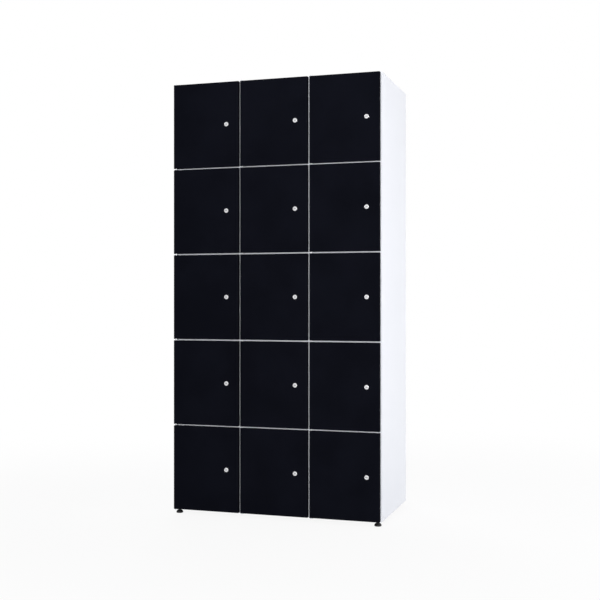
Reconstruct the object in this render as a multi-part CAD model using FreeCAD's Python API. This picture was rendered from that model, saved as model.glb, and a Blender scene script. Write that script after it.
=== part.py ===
import FreeCAD, Part
import math
import os

# Cabinet as a whole. X runs to the right, Y into the cabinet and Z up.
# The origin is on the floor, in the middle of the outline.
body_width = 900.0
body_height = 1800.0
overall_depth = 500.0
foot_height = 16.6
column_count = 3
row_count = 5

# Sheet steel and the cuts made in it
sheet = 1.0
bend_radius = 1.5
cut_overrun = 2.0
running_clearance = 0.05
fit_clearance = 0.1

# Doors and the gaps around them
door_thickness = 18.0
door_standoff = 3.0
column_gap = 8.0
row_gap = 6.0
end_clearance = 0.4
door_lip = 15.0

# Hinges: a pin in a lug above and below each door
pivot_from_edge = 6.5
pivot_from_front = 10.0
lug_thickness = 2.0
lug_width = 12.0
pin_diameter = 5.0
pin_reach = 9.0
collar_diameter = 10.0
bush_neck_diameter = 7.6
bush_flange_diameter = 10.0
bush_length = 10.0

# Front frame of folded box sections
stile_lip = 14.0
frame_depth = 10.0
rail_height = 25.0

# Trays, flanges and the back sheet
tray_depth = 20.0
flange_width = 12.0
back_inset = 3.0
wall_hole_diameter = 9.0
wall_hole_spacing = 600.0
wall_hole_drop = 60.0

# Rubber stops on the lock side of each door
bumper_diameter = 8.0
bumper_from_lip = 5.0
bumper_from_end = 40.0

# Cam locks
lock_from_edge = 53.0
lock_proud = 2.5
lock_rim_diameter = 18.0
lock_rim_bevel = 0.8
barrel_diameter = 16.0
plug_diameter = 12.0
plug_head_diameter = 14.0
plug_head_depth = 2.0
plug_recess = 0.4
keyway_length = 8.0
keyway_width = 1.5
keyway_depth = 6.0
nut_across_flats = 22.0
nut_thickness = 4.0
cam_clearance = 1.0
cam_axial_play = 0.3
cam_thickness = 2.5
cam_width = 14.0
cam_reach = 52.0
cam_square = 6.5
screw_diameter = 10.0
screw_height = 3.0
screw_bevel = 0.8

# Levelling feet and their sockets
front_foot_from_side = 18.0
rear_foot_from_side = 34.0
foot_from_front = 10.0
foot_from_back = 22.0
pad_diameter = 29.0
pad_rim_height = 4.5
pad_edge = 1.2
pad_neck_diameter = 14.0
pad_neck_height = 4.6
stem_diameter = 8.0
stem_sink = 8.0
stem_length = 17.0
socket_plate_side = 44.0
socket_plate_thickness = 3.0
socket_boss_diameter = 16.0
socket_boss_height = 9.0

# Planes and pitches that follow from the sizes above
depth_with_locks = overall_depth + lock_proud
lock_face = -depth_with_locks / 2
door_front = lock_face + lock_proud
door_back = door_front + door_thickness
body_front = door_back + door_standoff
body_back = door_front + overall_depth
frame_front = body_front + sheet
frame_back = frame_front + frame_depth
back_inner = body_back - sheet
flange_inner = back_inner - sheet
half_width = body_width / 2
side_inner = half_width - sheet
body_base = foot_height
body_top = body_base + body_height
base_floor = body_base + tray_depth
top_inner = body_top - sheet
top_flange_end = body_top - tray_depth
column_pitch = body_width / column_count
collar_height = (row_gap - lug_thickness) / 2
end_margin = sheet + lug_thickness + end_clearance
door_width = column_pitch - column_gap
door_height = (body_height - 2 * end_margin - (row_count - 1) * row_gap) / row_count
row_pitch = door_height + row_gap
pivot_line = door_front + pivot_from_front
cam_front = frame_back + cam_clearance
cam_back = cam_front + cam_thickness
barrel_end = cam_front - cam_axial_play

x_axis = FreeCAD.Vector(1, 0, 0)
y_axis = FreeCAD.Vector(0, 1, 0)
z_axis = FreeCAD.Vector(0, 0, 1)


def point(x, y, z):
    return FreeCAD.Vector(x, y, z)


def boundary(column):
    return -half_width + column * column_pitch


def door_left(column):
    return boundary(column) + column_gap / 2


def door_bottom(row):
    return body_top - end_margin - door_height - row * row_pitch


def pivot_x(column):
    return door_left(column) + pivot_from_edge


def lock_x(column):
    return door_left(column) + door_width - lock_from_edge


def lock_z(row):
    return door_bottom(row) + door_height / 2


def gap_level(row):
    return door_bottom(row) - row_gap / 2


def box(low, high):
    size = high - low
    return Part.makeBox(size.x, size.y, size.z, low)


def cylinder(base, diameter, length, axis):
    return Part.makeCylinder(diameter / 2, length, base, axis)


def edges_along(shape, axis):
    parallel_share = 0.001

    def runs_along(edge):
        return edge.tangentAt(edge.FirstParameter).cross(axis).Length < parallel_share

    return [edge for edge in shape.Edges if runs_along(edge)]


def box_section(low, high, axis):
    outer = box(low, high)
    outer = outer.makeFillet(bend_radius, edges_along(outer, axis))
    wall = point(sheet, sheet, sheet) - axis * sheet
    end = axis * cut_overrun
    return outer.cut(box(low + wall - end, high - wall + end))


def tray(low, high):
    outer = box(low, high)
    folds = [edge for edge in outer.Edges if edge.BoundBox.ZMin > high.z - sheet]
    outer = outer.makeFillet(bend_radius, folds)
    hollow_low = low + point(sheet, sheet, -cut_overrun)
    hollow_high = high - point(sheet, sheet, sheet)
    return outer.cut(box(hollow_low, hollow_high))


def revolve(radii_and_places, base, axis_turn):
    corners = [point(radius, 0, place) for radius, place in radii_and_places]
    face = Part.Face(Part.makePolygon(corners + corners[:1]))
    solid = face.revolve(point(0, 0, 0), z_axis, 360)
    solid.Placement = FreeCAD.Placement(base, axis_turn)
    return solid


upright = FreeCAD.Rotation()
into_cabinet = FreeCAD.Rotation(z_axis, y_axis)


def angle_sheet(web_outer, inward, front, low, high):
    # An upright sheet whose back edge is folded through a right angle, inward along X
    outer_radius = bend_radius + sheet
    slant_share = 1 - 0.5 ** 0.5
    flat_back = back_inner - outer_radius

    def place(across, depth):
        return point(web_outer + inward * across, depth, low)

    outer_mid = place(outer_radius * slant_share, back_inner - outer_radius * slant_share)
    inner_mid = place(sheet + bend_radius * slant_share, flange_inner - bend_radius * slant_share)
    lines = [
        Part.makeLine(place(sheet, flat_back), place(sheet, front)),
        Part.makeLine(place(sheet, front), place(0, front)),
        Part.makeLine(place(0, front), place(0, flat_back)),
        Part.Arc(place(0, flat_back), outer_mid, place(outer_radius, back_inner)).toShape(),
        Part.makeLine(place(outer_radius, back_inner), place(flange_width, back_inner)),
        Part.makeLine(place(flange_width, back_inner), place(flange_width, flange_inner)),
        Part.makeLine(place(flange_width, flange_inner), place(outer_radius, flange_inner)),
        Part.Arc(place(outer_radius, flange_inner), inner_mid, place(sheet, flat_back)).toShape(),
    ]
    return Part.Face(Part.Wire(lines)).extrude(z_axis * (high - low))


def save(node, solids):
    Part.makeCompound(solids).exportStep("parts/" + node + ".step")


# Envelopes of the top and base trays, which the upright sheets are notched around
top_low = point(-side_inner, body_front, top_flange_end)
top_high = point(side_inner, back_inner, body_top)
base_low = point(-side_inner, body_front, body_base)
base_high = point(side_inner, back_inner, base_floor)


def side(outer_face, inward):
    sheet_body = angle_sheet(outer_face, inward, body_front, body_base, body_top)
    return sheet_body.cut(box(top_low, top_high)).cut(box(base_low, base_high))


def partition(column):
    sheet_body = angle_sheet(boundary(column) - sheet / 2, 1, frame_back, base_floor, top_inner)
    notch_low = point(-side_inner, flange_inner - bend_radius, top_flange_end)
    return sheet_body.cut(box(notch_low, top_high))


def stile(column):
    low_x = max(boundary(column) - stile_lip, -side_inner)
    high_x = min(boundary(column) + stile_lip, side_inner)
    return box_section(point(low_x, frame_front, base_floor), point(high_x, frame_back, top_inner), z_axis)


def rail(column, row):
    low = point(boundary(column) + stile_lip, frame_front, gap_level(row) - rail_height / 2)
    high = point(boundary(column + 1) - stile_lip, frame_back, gap_level(row) + rail_height / 2)
    return box_section(low, high, x_axis)


def shelf(column, row):
    low_x = max(boundary(column) + sheet / 2, -side_inner)
    high_x = min(boundary(column + 1) - sheet / 2, side_inner)
    floor = gap_level(row) + rail_height / 2
    # The shelf stops where the bend of the wall's back flange starts
    high = point(high_x, flange_inner - bend_radius, floor)
    return tray(point(low_x, frame_back, floor - tray_depth), high)


def top():
    tray_body = tray(top_low, top_high)
    for column in range(column_count + 1):
        low_x = max(boundary(column) - stile_lip, -side_inner)
        high_x = min(boundary(column) + stile_lip, side_inner)
        low = point(low_x, frame_front, top_flange_end - cut_overrun)
        tray_body = tray_body.cut(box(low, point(high_x, frame_back, top_inner)))
    return tray_body


def foot_places():
    # The rear feet stand farther in, out of sight from the front
    front = body_front + foot_from_front
    rear = back_inner - foot_from_back
    front_reach = half_width - front_foot_from_side
    rear_reach = half_width - rear_foot_from_side
    return {
        "front_left": point(-front_reach, front, 0),
        "front_right": point(front_reach, front, 0),
        "rear_left": point(-rear_reach, rear, 0),
        "rear_right": point(rear_reach, rear, 0),
    }


def socket(place):
    # A corner plate welded into the base tray, with a threaded boss above it
    corner_x = side_inner - sheet
    inner_x = corner_x - socket_plate_side
    near = body_front + sheet
    far = back_inner - sheet
    low_x, high_x = (-corner_x, -inner_x) if place.x < 0 else (inner_x, corner_x)
    low_y, high_y = (near, near + socket_plate_side) if place.y < 0 else (far - socket_plate_side, far)
    plate_top = body_base + socket_plate_thickness
    plate = box(point(low_x, low_y, body_base), point(high_x, high_y, plate_top))
    seat = place + z_axis * plate_top
    body = plate.fuse(cylinder(seat, socket_boss_diameter, socket_boss_height, z_axis)).removeSplitter()
    bore_low = place + z_axis * (body_base - cut_overrun)
    bore_length = socket_plate_thickness + socket_boss_height + 2 * cut_overrun
    return body.cut(cylinder(bore_low, stem_diameter + 2 * running_clearance, bore_length, z_axis))


def foot(place):
    # The pad has a domed shoulder between its rim and its neck
    rim = pad_diameter / 2
    neck = pad_neck_diameter / 2
    neck_low = foot_height - pad_neck_height
    stem_low = foot_height - stem_sink
    stem_hole = stem_diameter / 2
    dome_share = 0.64
    dome_radius = neck + (rim - neck) * dome_share
    dome_height = pad_rim_height + (neck_low - pad_rim_height) * dome_share
    dome_mid = point(dome_radius, 0, dome_height)
    lines = [
        Part.makeLine(point(0, 0, 0), point(rim - pad_edge, 0, 0)),
        Part.makeLine(point(rim - pad_edge, 0, 0), point(rim, 0, pad_edge)),
        Part.makeLine(point(rim, 0, pad_edge), point(rim, 0, pad_rim_height)),
        Part.Arc(point(rim, 0, pad_rim_height), dome_mid, point(neck, 0, neck_low)).toShape(),
        Part.makeLine(point(neck, 0, neck_low), point(neck, 0, foot_height)),
        Part.makeLine(point(neck, 0, foot_height), point(stem_hole, 0, foot_height)),
        Part.makeLine(point(stem_hole, 0, foot_height), point(stem_hole, 0, stem_low)),
        Part.makeLine(point(stem_hole, 0, stem_low), point(0, 0, stem_low)),
        Part.makeLine(point(0, 0, stem_low), point(0, 0, 0)),
    ]
    pad = Part.Face(Part.Wire(lines)).revolve(point(0, 0, 0), z_axis, 360)
    pad.translate(place)
    stem = cylinder(place + z_axis * stem_low, stem_diameter, stem_sink + stem_length, z_axis)
    return [pad, stem]


def lug(column, level, weld_face):
    low = level - lug_thickness / 2
    centre = point(pivot_x(column), pivot_line, low)
    strip_low = point(pivot_x(column) - lug_width / 2, pivot_line, low)
    strip_high = point(pivot_x(column) + lug_width / 2, weld_face, low + lug_thickness)
    eye = cylinder(centre, lug_width, lug_thickness, z_axis)
    body = box(strip_low, strip_high).fuse(eye).removeSplitter()
    hole_low = centre - z_axis * cut_overrun
    hole_length = lug_thickness + 2 * cut_overrun
    return body.cut(cylinder(hole_low, pin_diameter + 2 * running_clearance, hole_length, z_axis))


def hinge_levels():
    # Height of each lug, the face that it is welded to, and the space to the door above and below it,
    # which is zero where no door turns
    levels = [(body_top - sheet - lug_thickness / 2, body_front, 0, end_clearance)]
    for row in range(row_count - 1):
        levels.append((gap_level(row), frame_front, collar_height, collar_height))
    levels.append((body_base + lug_thickness / 2, body_front, end_margin - lug_thickness, 0))
    return levels


def pin(column, level, space_above, space_below):
    shoulder = level + lug_thickness / 2
    head = space_above - fit_clearance if space_above else sheet
    tip = shoulder + space_above + pin_reach if space_above else shoulder + head
    tail = level - lug_thickness / 2 - (space_below + pin_reach if space_below else 0)
    shaft = pin_diameter / 2
    collar = collar_diameter / 2
    outline = [(0, tail), (shaft, tail), (shaft, shoulder), (collar, shoulder), (collar, shoulder + head)]
    if space_above:
        outline += [(shaft, shoulder + head), (shaft, tip)]
    outline.append((0, tip))
    return revolve(outline, point(pivot_x(column), pivot_line, 0), upright)


def bumpers(column, row):
    x = boundary(column + 1) - stile_lip + bumper_from_lip
    low = door_bottom(row) + bumper_from_end
    high = door_bottom(row) + door_height - bumper_from_end
    length = frame_front - door_back
    return [cylinder(point(x, door_back, z), bumper_diameter, length, y_axis) for z in (low, high)]


def door(column, row):
    # A pan with its edges folded back and in, a liner behind the folds
    # and a bush at each end of the pin line
    low = point(door_left(column), door_front, door_bottom(row))
    high = low + point(door_width, door_thickness, door_height)
    wall = point(sheet, sheet, sheet)
    outer = box(low, high)
    pan = outer.makeFillet(bend_radius, outer.Edges).cut(box(low + wall, high - wall))
    window_low = low + point(door_lip, door_thickness / 2, door_lip)
    window_high = high + point(-door_lip, cut_overrun, -door_lip)
    pan = pan.cut(box(window_low, window_high))
    liner_low = point(low.x + sheet, door_back - 2 * sheet, low.z + sheet)
    liner = box(liner_low, high - wall)
    lock_base = point(lock_x(column), door_front - cut_overrun, lock_z(row))
    lock_hole_length = door_thickness + 2 * cut_overrun
    lock_hole = cylinder(lock_base, barrel_diameter + 2 * fit_clearance, lock_hole_length, y_axis)
    bush_base = point(pivot_x(column), pivot_line, low.z - cut_overrun)
    bush_hole_diameter = bush_neck_diameter + 2 * running_clearance
    bush_hole = cylinder(bush_base, bush_hole_diameter, door_height + 2 * cut_overrun, z_axis)
    bore = pin_diameter / 2 + running_clearance
    neck = bush_neck_diameter / 2
    rim = bush_flange_diameter / 2
    outline = [(bore, 0), (neck, 0), (neck, sheet), (rim, sheet), (rim, bush_length), (bore, bush_length)]
    lower_bush = revolve(outline, point(pivot_x(column), pivot_line, low.z), upright)
    upper_outline = [(radius, -place) for radius, place in outline]
    upper_bush = revolve(upper_outline, point(pivot_x(column), pivot_line, high.z), upright)
    return [pan.cut(lock_hole).cut(bush_hole), liner.cut(lock_hole), lower_bush, upper_bush]


def lock_body(column, row):
    # Distances in these outlines run into the cabinet from the face of the lock
    rim = lock_rim_diameter / 2
    barrel = barrel_diameter / 2
    bore = plug_diameter / 2 + running_clearance
    head_bore = plug_head_diameter / 2 + running_clearance
    head_floor = plug_recess + plug_head_depth
    length = barrel_end - lock_face
    outline = [
        (head_bore, 0),
        (rim - lock_rim_bevel, 0),
        (rim, lock_rim_bevel),
        (rim, lock_proud),
        (barrel, lock_proud),
        (barrel, length),
        (bore, length),
        (bore, head_floor),
        (head_bore, head_floor),
    ]
    base = point(lock_x(column), lock_face, lock_z(row))
    nut_base = point(lock_x(column), door_back - sheet, lock_z(row))
    nut = hexagon(nut_across_flats, nut_base).extrude(y_axis * nut_thickness)
    nut_hole_base = nut_base - y_axis * cut_overrun
    nut_hole_length = nut_thickness + 2 * cut_overrun
    nut_hole = cylinder(nut_hole_base, barrel_diameter + 2 * running_clearance, nut_hole_length, y_axis)
    return [revolve(outline, base, into_cabinet), nut.cut(nut_hole)]


def hexagon(across_flats, centre):
    flat_count = 6
    turn = 360 / flat_count
    corner = z_axis * (across_flats / 2 / math.cos(math.radians(turn / 2)))
    turns = [FreeCAD.Rotation(y_axis, turn * count) for count in range(flat_count)]
    corners = [centre + rotation.multVec(corner) for rotation in turns]
    return Part.Face(Part.makePolygon(corners + corners[:1]))


def lock_plug(column, row):
    # The plug carries the cam on a square tail, held by a screw.
    # The cam hangs straight down when the door is unlocked.
    x = lock_x(column)
    z = lock_z(row)
    face = lock_face + plug_recess
    shaft_length = cam_front - face
    head = plug_head_diameter / 2
    shaft = plug_diameter / 2
    head_depth = plug_head_depth - running_clearance
    outline = [(0, 0), (head, 0), (head, head_depth), (shaft, head_depth)]
    outline += [(shaft, shaft_length), (0, shaft_length)]
    plug = revolve(outline, point(x, face, z), into_cabinet)
    half_square = cam_square / 2
    tail_low = point(x - half_square, cam_front, z - half_square)
    tail = box(tail_low, point(x + half_square, cam_back, z + half_square))
    keyway_low = point(x - keyway_length / 2, face - cut_overrun, z - keyway_width / 2)
    keyway_high = point(x + keyway_length / 2, face + keyway_depth, z + keyway_width / 2)
    plug = plug.fuse(tail).removeSplitter().cut(box(keyway_low, keyway_high))
    hub = point(x, cam_front, z)
    tip = point(x, cam_front, z - cam_reach + cam_width / 2)
    arm = box(point(x - cam_width / 2, cam_front, tip.z), point(x + cam_width / 2, cam_back, z))
    cam = arm.fuse(cylinder(hub, cam_width, cam_thickness, y_axis))
    cam = cam.fuse(cylinder(tip, cam_width, cam_thickness, y_axis)).removeSplitter().cut(tail)
    radius = screw_diameter / 2
    screw_outline = [(0, 0), (radius, 0), (radius, screw_height - screw_bevel)]
    screw_outline += [(radius - screw_bevel, screw_height), (0, screw_height)]
    screw = revolve(screw_outline, point(x, cam_back, z), into_cabinet)
    return [plug, cam, screw]


def back():
    low = point(-half_width + back_inset, back_inner, body_base + back_inset)
    high = point(half_width - back_inset, body_back, body_top - back_inset)
    panel = box(low, high)
    for x in (-wall_hole_spacing / 2, wall_hole_spacing / 2):
        hole_base = point(x, back_inner - cut_overrun, body_top - wall_hole_drop)
        panel = panel.cut(cylinder(hole_base, wall_hole_diameter, sheet + 2 * cut_overrun, y_axis))
    return panel


os.makedirs("parts", exist_ok=True)

columns = range(column_count)
rows = range(row_count)
feet = foot_places()

save("left_side", [side(-half_width, 1)])
save("right_side", [side(half_width, -1)])
save("top_panel", [top()])
save("base_panel", [tray(base_low, base_high)] + [socket(place) for place in feet.values()])
save("back_panel", [back()])
save("partition_left", [partition(1)])
save("partition_right", [partition(2)])
save("shelves", [shelf(column, row) for column in columns for row in rows[:-1]])

frame = [stile(column) for column in range(column_count + 1)]
frame += [rail(column, row) for column in columns for row in rows[:-1]]
pins = []
for level, weld_face, space_above, space_below in hinge_levels():
    frame += [lug(column, level, weld_face) for column in columns]
    pins += [pin(column, level, space_above, space_below) for column in columns]
save("front_frame", frame)
save("hinge_pins", pins)

stops = []
for column in columns:
    for row in rows:
        stops += bumpers(column, row)
save("door_bumpers", stops)

for name, place in feet.items():
    save("foot_" + name, foot(place))

for row in rows:
    for column in columns:
        place_name = "r" + str(row + 1) + "c" + str(column + 1)
        save("door_" + place_name, door(column, row))
        save("lock_body_" + place_name, lock_body(column, row))
        save("lock_plug_" + place_name, lock_plug(column, row))
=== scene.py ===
import math

import bmesh
import bpy
from mathutils import Matrix, Vector


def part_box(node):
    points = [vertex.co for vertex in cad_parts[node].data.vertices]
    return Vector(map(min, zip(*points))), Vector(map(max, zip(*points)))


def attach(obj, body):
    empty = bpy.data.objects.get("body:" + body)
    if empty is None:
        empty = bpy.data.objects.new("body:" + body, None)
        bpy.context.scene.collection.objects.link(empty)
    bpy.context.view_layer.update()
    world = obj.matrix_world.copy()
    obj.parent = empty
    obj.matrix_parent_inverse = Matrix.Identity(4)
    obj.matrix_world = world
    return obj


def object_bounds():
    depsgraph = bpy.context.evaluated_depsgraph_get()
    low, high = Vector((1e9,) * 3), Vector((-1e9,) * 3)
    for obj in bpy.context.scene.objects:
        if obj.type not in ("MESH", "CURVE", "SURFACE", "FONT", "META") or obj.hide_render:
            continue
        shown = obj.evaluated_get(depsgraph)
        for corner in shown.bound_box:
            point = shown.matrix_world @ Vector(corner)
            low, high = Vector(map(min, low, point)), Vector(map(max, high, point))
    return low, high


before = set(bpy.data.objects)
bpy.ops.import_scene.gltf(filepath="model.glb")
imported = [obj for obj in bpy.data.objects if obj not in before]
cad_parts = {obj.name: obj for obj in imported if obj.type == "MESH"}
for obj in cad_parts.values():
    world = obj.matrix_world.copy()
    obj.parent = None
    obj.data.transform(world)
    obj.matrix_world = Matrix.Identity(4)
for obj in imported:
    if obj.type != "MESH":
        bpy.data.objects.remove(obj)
cadLow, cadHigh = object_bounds()

# Doors and locks are named by row from the top and column from the left
rowCount = 5
columnCount = 3
cells = [f"r{row}c{column}" for row in range(1, rowCount + 1) for column in range(1, columnCount + 1)]


def middleOf(node):
    low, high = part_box(node)
    return (low + high) / 2


# Places read from the frame, in metres
doorLow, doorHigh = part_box("door_r1c1")
doorCentre = middleOf("door_r1c1")
doorSize = doorHigh - doorLow
columnPitch = middleOf("door_r1c2").x - doorCentre.x
rowPitch = doorCentre.z - middleOf("door_r2c1").z
lockCentre = middleOf("lock_body_r1c1")


class Wire:  # a node's output that Python maths can work on
    def __init__(self, finish, socket):
        self.finish = finish
        self.socket = socket

    def out(self, name):  # another output of the same node
        return Wire(self.finish, self.socket.node.outputs[name])

    def maths(self, operation, *values):
        return self.finish.node("ShaderNodeMath", {"operation": operation}, dict(enumerate(values)))

    def __add__(self, other):
        return self.maths("ADD", self, other)

    def __radd__(self, other):
        return self.maths("ADD", other, self)

    def __sub__(self, other):
        return self.maths("SUBTRACT", self, other)

    def __rsub__(self, other):
        return self.maths("SUBTRACT", other, self)

    def __mul__(self, other):
        return self.maths("MULTIPLY", self, other)

    def __rmul__(self, other):
        return self.maths("MULTIPLY", other, self)

    def __pow__(self, other):
        return self.maths("POWER", self, other)

    def __abs__(self):
        return self.maths("ABSOLUTE", self)

    def wrap(self, width):  # repeats every width, with zero in the middle
        return self.maths("WRAP", self, width / 2, -width / 2)

    def waves(self, pitch):  # a sine that repeats every pitch
        return self.maths("SINE", self * (2 * math.pi / pitch))

    def least(self, other):
        return self.maths("MINIMUM", self, other)

    def most(self, other):
        return self.maths("MAXIMUM", self, other)

    def ramp(self, low, high, start=0.0, end=1.0):  # a smooth step from start to end
        return self.finish.node(
            "ShaderNodeMapRange",
            {"interpolation_type": "SMOOTHSTEP"},
            {"Value": self, "From Min": low, "From Max": high, "To Min": start, "To Max": end},
        )

    def fade(self, low, high):  # a smooth step down to nothing
        return self.ramp(low, high, 1.0, 0.0)


class Finish:  # one node tree being wired
    def __init__(self, tree):
        self.tree = tree
        tree.nodes.clear()

    def node(self, kind, settings=None, sockets=None, output=0):
        made = self.tree.nodes.new(kind)
        for key, value in (settings or {}).items():
            setattr(made, key, value)
        for key, value in (sockets or {}).items():
            if isinstance(value, Wire):
                self.tree.links.new(value.socket, made.inputs[key])
            else:
                made.inputs[key].default_value = value
        return Wire(self, made.outputs[output]) if len(made.outputs) else made

    def place(self):  # the rest place of each point, in metres, which moves with the piece
        return self.node("ShaderNodeTexCoord", output="Object")

    def axis(self, vector, name):
        return self.node("ShaderNodeSeparateXYZ", None, {"Vector": vector}, name)

    def stretch(self, vector, scale):
        return self.node("ShaderNodeVectorMath", {"operation": "MULTIPLY"}, {0: vector, 1: scale})

    def noise(self, vector, size, detail, rough=0.5):
        sockets = {"Vector": vector, "Scale": 1 / size, "Detail": detail, "Roughness": rough}
        return self.node("ShaderNodeTexNoise", None, sockets)

    def patches(self, vector, start, end, **noise):  # noise cut into patches with soft edges
        return self.noise(vector, **noise).ramp(start, end)

    def blend(self, share, first, second):
        ends = [colour if isinstance(colour, Wire) else (*colour, 1.0) for colour in (first, second)]
        sockets = {0: share, 6: ends[0], 7: ends[1]}  # a Mix node's colours, which come out at 2
        return self.node("ShaderNodeMix", {"data_type": "RGBA"}, sockets, 2)

    def relief(self, height, depth, under=None):
        sockets = {"Height": height, "Distance": depth, "Strength": 1.0}
        if under is not None:
            sockets["Normal"] = under
        return self.node("ShaderNodeBump", None, sockets)

    def paint(self, sockets):
        shader = self.node("ShaderNodeBsdfPrincipled", None, sockets)
        self.node("ShaderNodeOutputMaterial", None, {"Surface": shader})


def newMaterial(name, colour):
    material = bpy.data.materials.new(name)
    material.use_nodes = True
    material.diffuse_color = (*colour, 1.0)
    return material, Finish(material.node_tree)


# Sizes in the looks are in metres, and a patch starts and ends at these values of its noise
noiseMean = 0.5

whitePaintLook = {
    "colour": (0.80, 0.815, 0.86),
    "shade": (0.76, 0.775, 0.825),
    "cloud": {"size": 0.35, "detail": 3, "start": 0.3, "end": 0.7},
    "handled": {"size": 0.05, "detail": 4, "rough": 0.6, "start": 0.55, "end": 0.8},
    "handledStretch": (1, 1, 0.35),
    "cloudShare": 0.5,
    "handledShare": 0.25,
    "grainShare": 0.15,
    "roughness": 0.40,
    "handledRoughens": 0.06,
    "peelRoughens": 0.08,
    "specular": 0.4,
    "peel": {"size": 0.0016, "detail": 2},
    "peelDepth": 0.00006,
    "grain": {"size": 0.0004, "detail": 1},
    "grainDepth": 0.000015,
}


def makeWhitePaint(look):
    material, f = newMaterial("whitePowderCoat", look["colour"])
    place = f.place()
    cloud = f.patches(place, **look["cloud"])
    handled = f.patches(f.stretch(place, look["handledStretch"]), **look["handled"])
    peel = f.noise(place, **look["peel"])
    grain = f.noise(place, **look["grain"])
    tone = cloud * look["cloudShare"] + handled * look["handledShare"] + grain * look["grainShare"]
    uneven = handled * look["handledRoughens"] + (peel - noiseMean) * look["peelRoughens"]
    f.paint({
        "Base Color": f.blend(tone, look["colour"], look["shade"]),
        "Roughness": look["roughness"] + uneven,
        "Specular IOR Level": look["specular"],
        "Normal": f.relief(grain, look["grainDepth"], f.relief(peel, look["peelDepth"])),
    })
    return material


blackPaintLook = {
    "colour": (0.0030, 0.0033, 0.0056),
    "sheen": (0.0046, 0.0051, 0.0086),
    "bare": (0.035, 0.036, 0.040),
    "cloud": {"size": 0.18, "detail": 3, "start": 0.3, "end": 0.7},
    "cloudShare": 0.6,
    "grainShare": 0.4,
    "rubbed": {"size": 0.006, "detail": 3, "start": 0.5, "end": 0.72},
    "rubbedReach": 0.0009,
    "streak": {"size": 0.004, "detail": 2, "start": 0.66, "end": 0.72},
    "streakStretch": (1, 1, 14),
    "streakShare": 0.5,
    "keyRing": (0.010, 0.032),  # where keys scratch the door, as radii about the lock
    "touched": {"size": 0.025, "detail": 3, "start": 0.4, "end": 0.7},
    "handRing": (0.02, 0.11),  # where hands polish it
    "roughness": 0.46,
    "touchedSmooths": 0.09,
    "wearSmooths": 0.1,
    "peelRoughens": 0.12,
    "specular": 0.006,
    "peel": {"size": 0.0014, "detail": 2},
    "peelDepth": 0.00007,
    "grain": {"size": 0.00035, "detail": 1},
    "grainDepth": 0.000021,
}


def makeBlackPaint(look):
    material, f = newMaterial("blackPowderCoat", look["colour"])
    place = f.place()
    acrossDoor = (f.axis(place, "X") - doorCentre.x).wrap(columnPitch)
    upDoor = (f.axis(place, "Z") - doorCentre.z).wrap(rowPitch)
    fromEdge = (doorSize.x / 2 - abs(acrossDoor)).least(doorSize.z / 2 - abs(upDoor))
    fromCorner = fromEdge.most(f.axis(place, "Y") - doorLow.y)  # small only at the rounded front edges
    fromLock = ((acrossDoor - (lockCentre.x - doorCentre.x)) ** 2 + upDoor ** 2) ** 0.5
    peel = f.noise(place, **look["peel"])
    grain = f.noise(place, **look["grain"])
    rubbed = fromCorner.fade(0.0, look["rubbedReach"]) * f.patches(place, **look["rubbed"])
    streak = f.patches(f.stretch(place, look["streakStretch"]), **look["streak"])
    wear = rubbed.most(streak * fromLock.fade(*look["keyRing"]) * look["streakShare"])
    touched = fromLock.fade(*look["handRing"]) * f.patches(place, **look["touched"])
    tone = f.patches(place, **look["cloud"]) * look["cloudShare"] + grain * look["grainShare"]
    coat = f.blend(tone, look["colour"], look["sheen"])
    polish = touched * look["touchedSmooths"] + wear * look["wearSmooths"]
    f.paint({
        "Base Color": f.blend(wear, coat, look["bare"]),
        "Roughness": look["roughness"] - polish + (peel - noiseMean) * look["peelRoughens"],
        "Specular IOR Level": look["specular"],
        "Normal": f.relief(grain, look["grainDepth"], f.relief(peel, look["peelDepth"])),
    })
    return material


def lockRadius(f, place):  # distance from the nearest lock's own axis
    across = (f.axis(place, "X") - lockCentre.x).wrap(columnPitch)
    up = (f.axis(place, "Z") - lockCentre.z).wrap(rowPitch)
    return (across ** 2 + up ** 2) ** 0.5


lockChromeLook = {
    "colour": (0.78, 0.78, 0.80),
    "dull": (0.60, 0.60, 0.62),
    "fog": {"size": 0.004, "detail": 3, "start": 0.4, "end": 0.75},
    "fogShare": 0.4,
    "specks": {"size": 0.0007, "detail": 2, "start": 0.62, "end": 0.74},
    "specksShare": 0.4,
    "roughness": 0.26,
    "fogRoughens": 0.08,
    "ringsRoughen": 0.03,
    "ringPitch": 0.00022,
    "ringDepth": 0.000006,
}


def makeLockChrome(look):
    material, f = newMaterial("satinChrome", look["colour"])
    place = f.place()
    rings = lockRadius(f, place).waves(look["ringPitch"])
    fog = f.patches(place, **look["fog"])
    specks = f.patches(place, **look["specks"])
    dulled = fog * look["fogShare"] + specks * look["specksShare"]
    f.paint({
        "Base Color": f.blend(dulled, look["colour"], look["dull"]),
        "Metallic": 1.0,
        "Roughness": look["roughness"] + fog * look["fogRoughens"] + rings * look["ringsRoughen"],
        "Normal": f.relief(rings, look["ringDepth"]),
    })
    return material


lockFaceLook = {
    "colour": (0.62, 0.62, 0.635),
    "worn": (0.42, 0.41, 0.40),
    "scratch": {"size": 0.0018, "detail": 2, "start": 0.55, "end": 0.68},
    "scratchStretch": (1, 1, 9),
    "keyedRing": (0.002, 0.006),
    "keyedShare": 0.7,
    "roughness": 0.28,
    "keyedRoughens": 0.12,
    "ringsRoughen": 0.03,
    "ringPitch": 0.00035,
    "ringDepth": 0.00001,
    "wobble": {"size": 0.002, "detail": 2},
    "wobbleReach": 0.000167,
}


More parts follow.
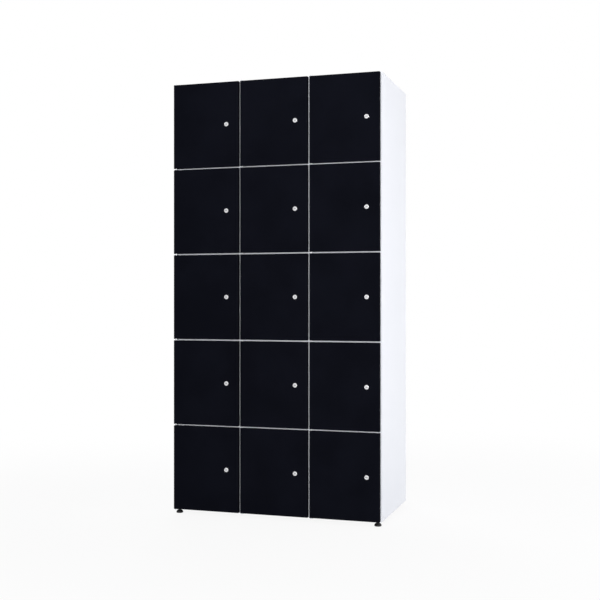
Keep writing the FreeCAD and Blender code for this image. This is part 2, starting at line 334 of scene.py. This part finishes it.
def makeLockFace(look):
    material, f = newMaterial("nickelPlugFace", look["colour"])
    place = f.place()
    radius = lockRadius(f, place)
    wobble = f.noise(place, **look["wobble"]) * look["wobbleReach"]
    rings = (radius + wobble).waves(look["ringPitch"])
    scratch = f.patches(f.stretch(place, look["scratchStretch"]), **look["scratch"])
    keyed = scratch * radius.fade(*look["keyedRing"])
    f.paint({
        "Base Color": f.blend(keyed * look["keyedShare"], look["colour"], look["worn"]),
        "Metallic": 1.0,
        "Roughness": look["roughness"] + keyed * look["keyedRoughens"] + rings * look["ringsRoughen"],
        "Normal": f.relief(rings, look["ringDepth"]),
    })
    return material


keywayShadeLook = {
    # colour is near black as painted shade inside the narrow slot; bright gives the rubbed patches
    "colour": (0.030, 0.029, 0.027),
    "bright": (0.16, 0.14, 0.10),
    "rubbed": {"size": 0.0012, "detail": 3, "start": 0.45, "end": 0.7},
    "metallic": 0.6,
    "roughness": 0.55,
    "rubbedSmooths": 0.15,
    "cutPitch": 0.0004,
    "cutDepth": 0.00003,
}


def makeKeywayShade(look):  # the inside of the keyway, coloured near black as painted shade in the slot, with paler rubbed patches
    material, f = newMaterial("keywayPaintedShade", look["colour"])
    place = f.place()
    cuts = f.axis(place, "X").waves(look["cutPitch"])
    rubbed = f.patches(place, **look["rubbed"])
    f.paint({
        "Base Color": f.blend(rubbed, look["colour"], look["bright"]),
        "Metallic": look["metallic"],
        "Roughness": look["roughness"] - rubbed * look["rubbedSmooths"],
        "Normal": f.relief(cuts, look["cutDepth"]),
    })
    return material


zincLook = {
    "cool": (0.62, 0.65, 0.70),
    "warm": (0.72, 0.69, 0.60),
    "tint": {"size": 0.012, "detail": 3, "rough": 0.6, "start": 0.35, "end": 0.65},
    "tintShare": 0.7,
    "spanglesPerMetre": 700.0,
    "spangleShare": 0.2,
    "roughness": 0.38,
    "rolledRoughens": 0.12,
    "spangleRoughens": 0.05,
    "rolled": {"size": 0.0006, "detail": 2},
    "rolledStretch": (1, 1, 0.08),
    "rolledDepth": 0.000012,
}


def makeZincPlate(look):
    material, f = newMaterial("zincPlate", look["cool"])
    place = f.place()
    tint = f.patches(place, **look["tint"])
    rolled = f.noise(f.stretch(place, look["rolledStretch"]), **look["rolled"])
    cellSockets = {"Vector": place, "Scale": look["spanglesPerMetre"]}
    spangle = f.node("ShaderNodeTexVoronoi", None, cellSockets, "Distance")
    tone = tint * look["tintShare"] + spangle * look["spangleShare"]
    uneven = rolled * look["rolledRoughens"] + spangle * look["spangleRoughens"]
    f.paint({
        "Base Color": f.blend(tone, look["cool"], look["warm"]),
        "Metallic": 1.0,
        "Roughness": look["roughness"] + uneven,
        "Normal": f.relief(rolled, look["rolledDepth"]),
    })
    return material


threadLook = {
    "colour": (0.60, 0.61, 0.63),
    # valleyShade is painted shade, darkening each thread valley
    "valleyShade": (0.30, 0.30, 0.30),
    "valleyShadeShare": 0.7,
    "grime": {"size": 0.003, "detail": 3, "start": 0.4, "end": 0.7},
    "grimeShare": 0.2,
    "roughness": 0.36,
    "grimeRoughens": 0.15,
    "pitch": 0.00125,
    "depth": 0.0006,
}


def makeThreadSteel(look):
    material, f = newMaterial("threadedSteel", look["colour"])
    place = f.place()
    crest = abs(f.axis(place, "Z").wrap(look["pitch"])) * (2 / look["pitch"])
    grime = f.patches(place, **look["grime"])
    # painted shade in the thread valleys, plus grime patches that are real dirt
    shadeAndGrime = (1 - crest) * look["valleyShadeShare"] + grime * look["grimeShare"]
    f.paint({
        "Base Color": f.blend(shadeAndGrime, look["colour"], look["valleyShade"]),
        "Metallic": 1.0,
        "Roughness": look["roughness"] + grime * look["grimeRoughens"],
        "Normal": f.relief(crest, look["depth"]),
    })
    return material


pinLook = {
    "colour": (0.58, 0.58, 0.60),
    "oiled": (0.34, 0.33, 0.31),
    "oil": {"size": 0.004, "detail": 3, "start": 0.45, "end": 0.7},
    "oilShare": 0.6,
    "roughness": 0.30,
    "ringsRoughen": 0.03,
    "oilRoughens": 0.08,
    "ringPitch": 0.0003,
    "ringDepth": 0.000006,
}


def makePinSteel(look):
    material, f = newMaterial("turnedPinSteel", look["colour"])
    place = f.place()
    rings = f.axis(place, "Z").waves(look["ringPitch"])
    oil = f.patches(place, **look["oil"])
    f.paint({
        "Base Color": f.blend(oil * look["oilShare"], look["colour"], look["oiled"]),
        "Metallic": 1.0,
        "Roughness": look["roughness"] + rings * look["ringsRoughen"] + oil * look["oilRoughens"],
        "Normal": f.relief(rings, look["ringDepth"]),
    })
    return material


stopLook = {
    "colour": (0.36, 0.36, 0.37),
    "pale": (0.48, 0.48, 0.49),
    "bloom": {"size": 0.003, "detail": 4, "rough": 0.6, "start": 0.4, "end": 0.7},
    "bloomShare": 0.7,
    "roughness": 0.72,
    "bloomRoughens": 0.1,
    "specular": 0.3,
    "grain": {"size": 0.0005, "detail": 2},
    "grainDepth": 0.00004,
}


def makeStopRubber(look):
    material, f = newMaterial("greyStopRubber", look["colour"])
    place = f.place()
    bloom = f.patches(place, **look["bloom"])
    grain = f.noise(place, **look["grain"])
    f.paint({
        "Base Color": f.blend(bloom * look["bloomShare"], look["colour"], look["pale"]),
        "Roughness": look["roughness"] + bloom * look["bloomRoughens"],
        "Specular IOR Level": look["specular"],
        "Normal": f.relief(grain, look["grainDepth"]),
    })
    return material


footLook = {
    "colour": (0.006, 0.006, 0.007),
    "scuffed": (0.030, 0.029, 0.028),
    "scuff": {"size": 0.003, "detail": 3, "start": 0.5, "end": 0.7},
    "scuffStretch": (1, 1, 3),
    "scuffTop": 0.004,
    "scuffShare": 0.8,
    "grainShare": 0.08,
    "roughness": 0.44,
    "scuffRoughens": 0.2,
    "grainRoughens": 0.1,
    "specular": 0.25,
    "grain": {"size": 0.0006, "detail": 2},
    "grainDepth": 0.00005,
}


def makeFootPlastic(look):
    material, f = newMaterial("blackFootPlastic", look["colour"])
    place = f.place()
    nearFloor = f.axis(place, "Z").fade(0.0, look["scuffTop"])
    scuff = f.patches(f.stretch(place, look["scuffStretch"]), **look["scuff"]) * nearFloor
    grain = f.noise(place, **look["grain"])
    tone = scuff * look["scuffShare"] + grain * look["grainShare"]
    uneven = scuff * look["scuffRoughens"] + (grain - noiseMean) * look["grainRoughens"]
    f.paint({
        "Base Color": f.blend(tone, look["colour"], look["scuffed"]),
        "Roughness": look["roughness"] + uneven,
        "Specular IOR Level": look["specular"],
        "Normal": f.relief(grain, look["grainDepth"]),
    })
    return material


bushLook = {
    "colour": (0.035, 0.035, 0.037),
    "polished": (0.06, 0.06, 0.062),
    "flow": {"size": 0.0015, "detail": 3, "start": 0.4, "end": 0.7},
    "flowStretch": (1, 1, 0.3),
    "roughness": 0.5,
    "flowSmooths": 0.15,
    "flowDepth": 0.00003,
}


def makeBushNylon(look):
    material, f = newMaterial("bushNylon", look["colour"])
    flow = f.patches(f.stretch(f.place(), look["flowStretch"]), **look["flow"])
    f.paint({
        "Base Color": f.blend(flow, look["colour"], look["polished"]),
        "Roughness": look["roughness"] - flow * look["flowSmooths"],
        "Normal": f.relief(flow, look["flowDepth"]),
    })
    return material


whitePaint = makeWhitePaint(whitePaintLook)
blackPaint = makeBlackPaint(blackPaintLook)
lockChrome = makeLockChrome(lockChromeLook)
lockFace = makeLockFace(lockFaceLook)
keywayPaintedShade = makeKeywayShade(keywayShadeLook)
zincPlate = makeZincPlate(zincLook)
threadSteel = makeThreadSteel(threadLook)
pinSteel = makePinSteel(pinLook)
stopRubber = makeStopRubber(stopLook)
footPlastic = makeFootPlastic(footLook)
bushNylon = makeBushNylon(bushLook)
print("finishes mixed:", len(bpy.data.materials))


def dress(node, *materials, choose=None):
    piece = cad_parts[node]
    piece.data.materials.clear()
    for material in materials:
        piece.data.materials.append(material)
    for face in piece.data.polygons:
        face.material_index = choose(face.center) if choose else 0


whiteNodes = ["left_side", "right_side", "top_panel", "base_panel", "back_panel"]
whiteNodes += ["partition_left", "partition_right", "shelves", "front_frame"]
for node in whiteNodes:
    dress(node, whitePaint)
dress("hinge_pins", pinSteel)
dress("door_bumpers", stopRubber)

# These sizes are a little past the parts' own, so that the middles of all their faces fall inside
footParts = {"stemRadius": 0.0045, "stemStart": 0.0161}


def footPart(node):  # 0 the pad, 1 its stem
    axis = middleOf(node)

    def part(centre):
        aside = math.hypot(centre.x - axis.x, centre.y - axis.y)
        return int(aside < footParts["stemRadius"] and centre.z > footParts["stemStart"])

    return part


for corner in ("front_left", "front_right", "rear_left", "rear_right"):
    dress("foot_" + corner, footPlastic, threadSteel, choose=footPart("foot_" + corner))

doorParts = {"bushRadius": 0.0052, "bushLength": 0.0102, "pinFromEdge": 0.0065, "pinFromFront": 0.010}


def doorPart(name):  # 0 the sheets, 1 a hinge bush
    low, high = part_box("door_" + name)
    pinX = low.x + doorParts["pinFromEdge"]
    pinY = low.y + doorParts["pinFromFront"]

    def part(centre):
        aside = math.hypot(centre.x - pinX, centre.y - pinY)
        fromEnd = min(centre.z - low.z, high.z - centre.z)
        return int(aside < doorParts["bushRadius"] and fromEnd < doorParts["bushLength"])

    return part


lockParts = {
    "barrelRadius": 0.00802,
    "nutStands": 0.003,  # how far the nut stands behind the door
    "camGap": 0.0061,  # from the cam screw's back to just before the cam
    "faceSkin": 0.00002,  # keeps the plug's own face out of the keyway
    "keywayLength": 0.0081,
    "keywayWidth": 0.0016,
    "keywayDepth": 0.0061,
}


def lockBodyPart(name):  # 0 the barrel and its rim, 1 the nut
    lock = middleOf("lock_body_" + name)
    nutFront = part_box("door_" + name)[1].y - lockParts["nutStands"]

    def part(centre):
        aside = math.hypot(centre.x - lock.x, centre.z - lock.z)
        return int(aside > lockParts["barrelRadius"] and centre.y > nutFront)

    return part


def lockPlugPart(name):  # 0 the plug, 1 the cam and its screw, 2 the keyway
    lock = middleOf("lock_body_" + name)
    low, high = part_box("lock_plug_" + name)
    keywayFront = low.y + lockParts["faceSkin"]
    camFront = high.y - lockParts["camGap"]

    def part(centre):
        if centre.y > camFront:
            return 1
        inLength = abs(centre.x - lock.x) < lockParts["keywayLength"] / 2
        inWidth = abs(centre.z - lock.z) < lockParts["keywayWidth"] / 2
        inDepth = 0 < centre.y - keywayFront < lockParts["keywayDepth"]
        return 2 if inLength and inWidth and inDepth else 0

    return part


for name in cells:
    dress("door_" + name, blackPaint, bushNylon, choose=doorPart(name))
    dress("lock_body_" + name, lockChrome, zincPlate, choose=lockBodyPart(name))
    dress("lock_plug_" + name, lockFace, zincPlate, keywayPaintedShade, choose=lockPlugPart(name))
print("frame dressed")


def turned(profile, sides):  # a closed form turned about Z from (radius, height) points
    form = bmesh.new()
    rings = []
    for radius, height in profile:
        if radius == 0:
            rings.append([form.verts.new((0, 0, height))])
            continue
        ring = []
        for step in range(sides):
            angle = 2 * math.pi * step / sides
            ring.append(form.verts.new((radius * math.cos(angle), radius * math.sin(angle), height)))
        rings.append(ring)
    for lower, upper in zip(rings, rings[1:]):
        for step in range(sides):
            after = (step + 1) % sides
            corners = [lower[step % len(lower)], lower[after % len(lower)]]
            corners += [upper[after % len(upper)], upper[step % len(upper)]]
            form.faces.new(list(dict.fromkeys(corners)))
    bmesh.ops.recalc_face_normals(form, faces=form.faces)
    return form


def domePoints(radius, height, degrees):
    angles = [math.radians(degree) for degree in degrees]
    return [(radius * math.cos(angle), height * math.sin(angle)) for angle in angles]


creaseDegrees = 35  # edges that turn more than this stay sharp


def finishForm(form, name):
    mesh = bpy.data.meshes.new(name)
    form.to_mesh(mesh)
    form.free()
    for face in mesh.polygons:
        face.use_smooth = True
    mesh.set_sharp_from_angle(angle=math.radians(creaseDegrees))
    return mesh


def addPiece(name, mesh, material, body, matrix=None):
    piece = bpy.data.objects.new(name, mesh)
    bpy.context.scene.collection.objects.link(piece)
    if not mesh.materials:
        mesh.materials.append(material)
    if matrix is not None:
        piece.matrix_world = matrix
    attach(piece, body)


pointBack = Matrix.Rotation(math.radians(-90), 4, "X")  # a form's own Z then points to the back

rivetLook = {
    "radius": 0.0034,
    "height": 0.0012,
    "root": 0.0004,  # how far the rivet reaches into the sheet
    "dome": (0, 20, 40, 60),  # degrees at which the dome has its rings
    "dimple": 0.0011,
    "dimpleTaper": 0.9,
    "dimpleSide": 0.55,  # where the dimple's side and floor end, as shares of the height
    "dimpleFloor": 0.5,
    "sides": 16,
    "pitch": 0.150,
    "fromEdge": 0.0075,
    "fromEnd": 0.050,
}


def rivetForm(look):
    radius, height, root, dimple = look["radius"], look["height"], look["root"], look["dimple"]
    profile = [(0, -root), (radius, -root), *domePoints(radius, height, look["dome"])]
    profile += [(dimple, height), (dimple * look["dimpleTaper"], height * look["dimpleSide"])]
    profile.append((0, height * look["dimpleFloor"]))
    return turned(profile, look["sides"])


def makeBackRivets(look):
    low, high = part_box("back_panel")
    uprights = [cadLow.x + look["fromEdge"], cadHigh.x - look["fromEdge"]]
    uprights += [middleOf(node).x for node in ("partition_left", "partition_right")]
    run = high.z - low.z - 2 * look["fromEnd"]
    count = round(run / look["pitch"])
    spots = [(x, low.z + look["fromEnd"] + run * k / count) for x in uprights for k in range(count + 1)]
    for z in (low.z + look["fromEdge"], high.z - look["fromEdge"]):
        for column in range(columnCount):
            spots.append((low.x + (high.x - low.x) * (column + 0.5) / columnCount, z))
    single = rivetForm(look)
    mesh = bpy.data.meshes.new("rivet")
    single.to_mesh(mesh)
    single.free()
    form = bmesh.new()
    for x, z in spots:
        start = len(form.verts)
        form.from_mesh(mesh)
        form.verts.ensure_lookup_table()
        spot = Matrix.Translation((x, high.y, z)) @ pointBack
        bmesh.ops.transform(form, matrix=spot, verts=form.verts[start:])
    bpy.data.meshes.remove(mesh)
    addPiece("backRivets", finishForm(form, "backRivets"), whitePaint, "cabinet")
    return len(spots)


print("back rivets:", makeBackRivets(rivetLook))

screwHeadLook = {
    "radius": 0.0041,
    "height": 0.0011,
    "root": 0.0003,  # how far the head reaches into the screw's solid
    "dome": (0, 18, 36, 54, 72),
    "slotLength": 0.0046,
    "slotWidth": 0.0009,
    "slotDepth": 0.0009,
    "sides": 32,
    "turn": 28,  # degrees that the cross stands turned
}


def makeCamScrewHead(look):
    radius, height, root = look["radius"], look["height"], look["root"]
    dome = domePoints(radius, height, look["dome"])
    blankForm = turned([(0, -root), (radius, -root), *dome, (0, height)], look["sides"])
    head = bpy.data.objects.new("camScrewBlank", finishForm(blankForm, "camScrewBlank"))
    cross = bmesh.new()
    for turn in (0, 90):
        size = Matrix.Diagonal((look["slotLength"], look["slotWidth"], 2 * look["slotDepth"], 1))
        place = Matrix.Translation((0, 0, height)) @ Matrix.Rotation(math.radians(turn), 4, "Z") @ size
        bmesh.ops.create_cube(cross, size=1, matrix=place)
    cutter = bpy.data.objects.new("crossCutter", finishForm(cross, "crossCutter"))
    for blank in (head, cutter):
        bpy.context.scene.collection.objects.link(blank)
    cut = head.modifiers.new("cross", "BOOLEAN")
    cut.object, cut.operation, cut.solver, cut.use_self = cutter, "DIFFERENCE", "EXACT", True
    bpy.context.view_layer.update()
    mesh = bpy.data.meshes.new_from_object(head.evaluated_get(bpy.context.evaluated_depsgraph_get()))
    mesh.name = "camScrewHead"
    mesh.materials.clear()
    for blank in (head, cutter):
        bpy.data.objects.remove(blank)
    return mesh


screwHead = makeCamScrewHead(screwHeadLook)
screwTurn = pointBack @ Matrix.Rotation(math.radians(screwHeadLook["turn"]), 4, "Z")
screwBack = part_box("lock_plug_r1c1")[1].y
for name in cells:
    lock = middleOf("lock_body_" + name)
    spot = Matrix.Translation((lock.x, screwBack, lock.z)) @ screwTurn
    addPiece("camScrewHead_" + name, screwHead, zincPlate, "lock_cylinder_" + name, spot)
print("cam screw heads:", len(cells))

barrelThreadLook = {
    "radius": 0.0080,
    "depth": 0.0003,
    "root": 0.0002,  # how far the ridge reaches into the barrel
    "pitch": 0.00125,
    "ridgeShare": 0.48,  # half the ridge's foot, as a share of the pitch
    "steps": 40,
    "fadeTurns": 0.5,
    "bareTurns": 0.5,  # left plain at each end
}


def makeBarrelThread(look, length):  # a ridge that winds round the lock's barrel behind its nut
    turns = length / look["pitch"] - 2 * look["bareTurns"]
    count = int(turns * look["steps"])
    inner = look["radius"] - look["root"]
    halfRidge = look["pitch"] * look["ridgeShare"]
    form = bmesh.new()
    sections = []
    for step in range(count + 1):
        turn = step / look["steps"]
        rise = min(1.0, turn / look["fadeTurns"], (turns - turn) / look["fadeTurns"])
        crest = look["radius"] + look["depth"] * max(0.0, rise)
        height = look["pitch"] * (turn + look["bareTurns"])
        corners = [(inner, height - halfRidge), (crest, height), (inner, height + halfRidge)]
        across, up = math.cos(2 * math.pi * turn), math.sin(2 * math.pi * turn)
        sections.append([form.verts.new((radius * across, radius * up, z)) for radius, z in corners])
    for before, after in zip(sections, sections[1:]):
        for k in range(len(before)):
            form.faces.new((before[k], before[k - 1], after[k - 1], after[k]))
    form.faces.new(sections[0])
    form.faces.new(sections[-1][::-1])
    bmesh.ops.recalc_face_normals(form, faces=form.faces)
    return finishForm(form, "barrelThread")


threadStart = doorHigh.y + lockParts["nutStands"]
barrelThread = makeBarrelThread(barrelThreadLook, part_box("lock_body_r1c1")[1].y - threadStart)
for name in cells:
    lock = middleOf("lock_body_" + name)
    spot = Matrix.Translation((lock.x, threadStart, lock.z)) @ pointBack
    addPiece("barrelThread_" + name, barrelThread, lockChrome, "door_leaf_" + name, spot)
print("barrel threads:", len(cells))

weldLook = {
    "radius": 0.0009,
    "length": 0.011,
    "ripples": 9,
    "rippleShare": 0.10,
    "endPower": 8,  # how squarely the bead ends
    "endShare": 0.15,  # thickness left at its very ends
    "steps": 36,
    "sides": 10,
    "halfLug": 0.001,
}


def weldBead(form, look, centre):
    rings = []
    for step in range(look["steps"] + 1):
        share = step / look["steps"]
        taper = math.sqrt(max(0.0, 1 - (2 * share - 1) ** look["endPower"]))
        swell = 1 + look["rippleShare"] * math.cos(2 * math.pi * look["ripples"] * share)
        radius = look["radius"] * max(look["endShare"], taper) * swell
        middle = centre + Vector((look["length"] * (share - 0.5), 0, 0))
        ring = []
        for k in range(look["sides"]):
            angle = 2 * math.pi * k / look["sides"]
            outward = Vector((0, math.cos(angle), math.sin(angle)))
            ring.append(form.verts.new(middle + outward * radius))
        rings.append(ring)
    for lower, upper in zip(rings, rings[1:]):
        for k in range(look["sides"]):
            after = (k + 1) % look["sides"]
            form.faces.new((lower[k], lower[after], upper[after], upper[k]))
    form.faces.new(list(reversed(rings[0])))
    form.faces.new(rings[-1])


def makeLugWelds(look):
    form = bmesh.new()
    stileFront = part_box("door_bumpers")[1].y  # the stops stand on the frame's front face
    for column in range(columnCount):
        pinX = doorLow.x + doorParts["pinFromEdge"] + column * columnPitch
        for gap in range(rowCount - 1):
            level = doorLow.z - (rowPitch - doorSize.z) / 2 - gap * rowPitch
            for side in (-1, 1):
                weldBead(form, look, Vector((pinX, stileFront, level + side * look["halfLug"])))
    bmesh.ops.recalc_face_normals(form, faces=form.faces)
    addPiece("lugWelds", finishForm(form, "lugWelds"), whitePaint, "cabinet")


makeLugWelds(weldLook)
print("hinge lug welds done")

floorLook = {
    "size": 60.0,
    "colour": (0.80, 0.80, 0.80),
    "nearShare": 0.90,  # how white the floor is beside the cabinet, where its shadow falls
    "fadeStart": 0.9,
    "fadeEnd": 3.2,
}


def seenDirectly(f):  # rays that see the backdrop itself: from the camera, in metal and through glass
    path = f.node("ShaderNodeLightPath", output="Is Camera Ray")
    return path.most(path.out("Is Glossy Ray")).most(path.out("Is Transmission Ray"))


def makeFloor(look):
    mesh = bpy.data.meshes.new("studioFloor")
    half = look["size"] / 2
    corners = [(-half, -half, 0), (half, -half, 0), (half, half, 0), (-half, half, 0)]
    mesh.from_pydata(corners, [], [(0, 1, 2, 3)])
    floor = bpy.data.objects.new("studioFloor", mesh)
    bpy.context.scene.collection.objects.link(floor)
    material, f = newMaterial("paleFloor", look["colour"])
    place = f.place()
    distance = (f.axis(place, "X") ** 2 + f.axis(place, "Y") ** 2) ** 0.5
    far = distance.ramp(look["fadeStart"], look["fadeEnd"], look["nearShare"], 1.0)
    matt = f.node("ShaderNodeBsdfDiffuse", None, {"Color": (*look["colour"], 1)})
    white = f.node("ShaderNodeEmission", None, {"Color": (1, 1, 1, 1), "Strength": 1.0})
    mixed = f.node("ShaderNodeMixShader", None, {0: far * seenDirectly(f), 1: matt, 2: white})
    f.node("ShaderNodeOutputMaterial", None, {"Surface": mixed})
    mesh.materials.append(material)


makeFloor(floorLook)

roomLook = {"fill": (0.36, 0.364, 0.375)}


def makeRoom(look):
    world = bpy.data.worlds.new("studioRoom")
    bpy.context.scene.world = world
    world.use_nodes = True
    f = Finish(world.node_tree)
    colour = f.blend(seenDirectly(f), look["fill"], (1.0, 1.0, 1.0))
    room = f.node("ShaderNodeBackground", None, {"Color": colour, "Strength": 1.0})
    f.node("ShaderNodeOutputWorld", None, {"Surface": room})


makeRoom(roomLook)

softboxes = {
    "front": {
        "place": (1.4, -4.4, 0.95),
        "aim": (0.0, -0.25, 0.95),
        "size": (1.2, 1.0),
        "power": 108,
    },
    "doorWash": {
        "place": (0.0, -1.6, 2.55),
        "aim": (0.0, -0.25, 1.45),
        "size": (1.8, 0.4),
        "power": 9,
    },
    "rightSide": {
        "place": (3.4, -0.4, 1.5),
        "aim": (0.45, 0.0, 1.0),
        "size": (1.6, 1.6),
        "power": 51,
    },
    "rearLeft": {
        "place": (-2.0, 3.7, 1.7),
        "aim": (0.0, 0.25, 0.95),
        "size": (1.6, 1.6),
        "power": 110,
    },
}


def makeSoftbox(name, look):
    light = bpy.data.lights.new(name, "AREA")
    light.shape = "RECTANGLE"
    light.size, light.size_y = look["size"]
    light.energy = look["power"]
    lamp = bpy.data.objects.new(name, light)
    bpy.context.scene.collection.objects.link(lamp)
    lamp.location = look["place"]
    lamp.rotation_euler = (Vector(look["aim"]) - lamp.location).to_track_quat("-Z", "Y").to_euler()


for name, look in softboxes.items():
    makeSoftbox(name, look)

cameraLook = {
    "place": (1.361, -4.180, 0.9043),
    "yaw": 17.59,
    "focalPixels": 1014,
    "framePixels": 600,
    "sensorWidth": 36.0,
}


def makeCamera(look):
    lens = bpy.data.cameras.new("photoCamera")
    lens.sensor_width = look["sensorWidth"]
    lens.lens = look["sensorWidth"] * look["focalPixels"] / look["framePixels"]
    lens.dof.use_dof = False
    camera = bpy.data.objects.new("photoCamera", lens)
    bpy.context.scene.collection.objects.link(camera)
    camera.location = look["place"]
    camera.rotation_euler = (math.radians(90), 0, math.radians(look["yaw"]))
    bpy.context.scene.camera = camera


makeCamera(cameraLook)
bpy.context.scene.view_settings.view_transform = "Standard"
print("stage set")
